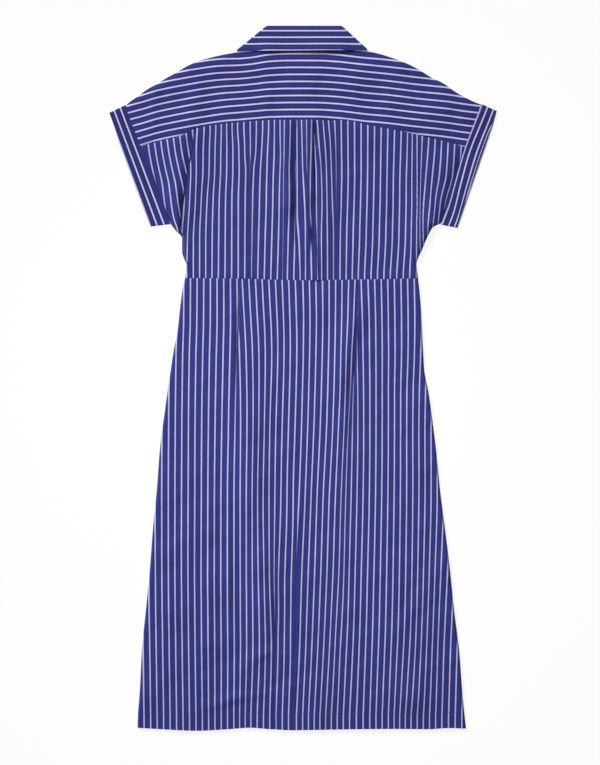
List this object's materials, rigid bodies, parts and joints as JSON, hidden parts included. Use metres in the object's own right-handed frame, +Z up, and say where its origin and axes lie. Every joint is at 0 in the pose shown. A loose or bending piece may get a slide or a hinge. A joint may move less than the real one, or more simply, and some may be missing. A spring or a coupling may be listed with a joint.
{
  "type": "shirt dress",
  "caption": "Short-sleeved midi shirt dress in striped cotton, laid flat back up, with a folded collar, a yoke, a box pleat, turned-back cuffs and a waist seam.",
  "frame": {"origin": "middle of the dress's outline, on the surface that it lies on", "axes": "+Z up from the surface, out of the back of the dress; +Y towards the collar; +X towards the right of the dress as it is seen from above"},
  "size_m": [0.6422, 1.1633, 0.0086],
  "materials": {
    "striped_cloth": "matte woven cotton with pale stripes",
    "button": "polished"
  },
  "bodies": {
    "root": {"back_yoke": "striped_cloth", "back_bodice": "striped_cloth", "back_skirt_left": "striped_cloth", "back_skirt_right": "striped_cloth", "front_bodice_left": "striped_cloth", "front_bodice_right": "striped_cloth", "front_skirt_left": "striped_cloth", "front_skirt_right": "striped_cloth", "band_over": "striped_cloth", "band_under": "striped_cloth", "collar_leaf": "striped_cloth", "collar_stand": "striped_cloth", "cuff_left": "striped_cloth", "cuff_right": "striped_cloth", "button_01": "button", "button_02": "button", "button_03": "button", "button_04": "button", "button_05": "button", "button_06": "button", "button_07": "button", "button_08": "button", "button_09": "button", "button_10": "button", "button_11": "button"}
  },
  "joints": []
}
